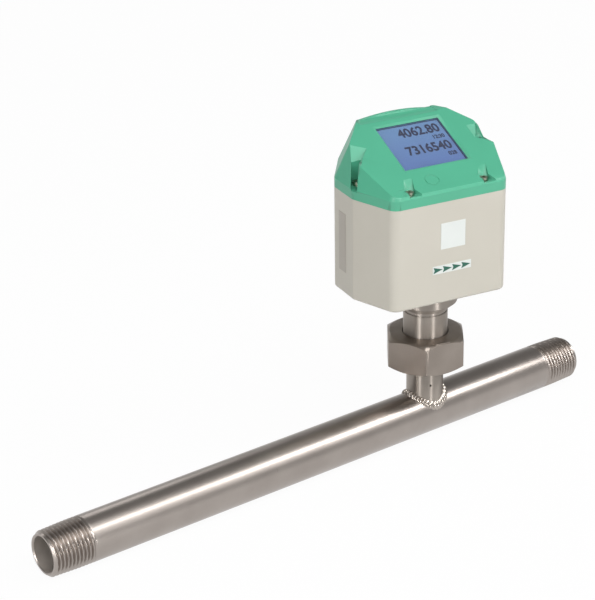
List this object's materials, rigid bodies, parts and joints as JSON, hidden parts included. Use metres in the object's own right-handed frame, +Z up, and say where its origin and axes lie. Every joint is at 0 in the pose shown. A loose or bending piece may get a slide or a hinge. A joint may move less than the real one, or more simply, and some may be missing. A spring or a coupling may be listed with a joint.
{
  "type": "gas flow meter",
  "caption": "In-line thermal gas flow meter: threaded stainless measuring tube with a welded socket, union nut and a green-lidded display head.",
  "frame": {"origin": "centre of the inlet end face, on the tube's axis", "axes": "+X along the tube with the flow, +Z up the stem through the head, display side towards -Y"},
  "size_m": [0.3, 0.0831, 0.1485],
  "materials": {
    "brushed_stainless": "brushed, satin",
    "weld_metal": "bright weld ripple",
    "nut_steel": "turned and milled, satin",
    "small_steel": "plain",
    "screw_steel": "bright",
    "insert_brass": "knurled",
    "black_rubber": "matt",
    "housing_cream": "fine grain, pale cream",
    "lid_green": "satin green",
    "clear_window": "clear",
    "display_blue": "blue panel",
    "black_plastic": "matt",
    "white_plastic": "diffuse",
    "board_green": "solder mask",
    "standoff_brass": "plain",
    "nickel_plated": "nickel plated",
    "contact_gold": "gold plated",
    "label_white": "film label",
    "arrow_ink": "dark green print",
    "label_grey": "film label"
  },
  "bodies": {
    "root": {"measuring_tube": "brushed_stainless", "sensor_socket": "brushed_stainless", "weld_bead": "weld_metal", "union_nut": "nut_steel", "union_o_ring": "black_rubber", "alignment_pin": "small_steel", "sensor_neck": "brushed_stainless", "neck_gasket": "black_rubber", "neck_lock_nut": "small_steel", "probe_tube": "brushed_stainless", "probe_tip": "small_steel", "heated_element": "small_steel", "reference_element": "small_steel", "housing": "housing_cream", "lid": "lid_green", "lid_gasket": "black_rubber", "lid_screws": "screw_steel", "screw_inserts": "insert_brass", "display_window": "clear_window", "display_panel": "display_blue", "panel_frame": "black_plastic", "display_backlight": "white_plastic", "display_board": "board_green", "display_screws": "small_steel", "main_board": "board_green", "board_standoffs": "standoff_brass", "board_screws": "small_steel", "terminal_blocks": "black_plastic", "board_components": "black_plastic", "connector_bodies": "nickel_plated", "connector_seals": "black_rubber", "connector_nuts": "nickel_plated", "connector_inserts": "black_plastic", "connector_pins": "contact_gold", "front_sticker": "label_white", "arrow_label": "label_white", "flow_arrows": "arrow_ink", "rating_plate": "label_grey"}
  },
  "joints": []
}
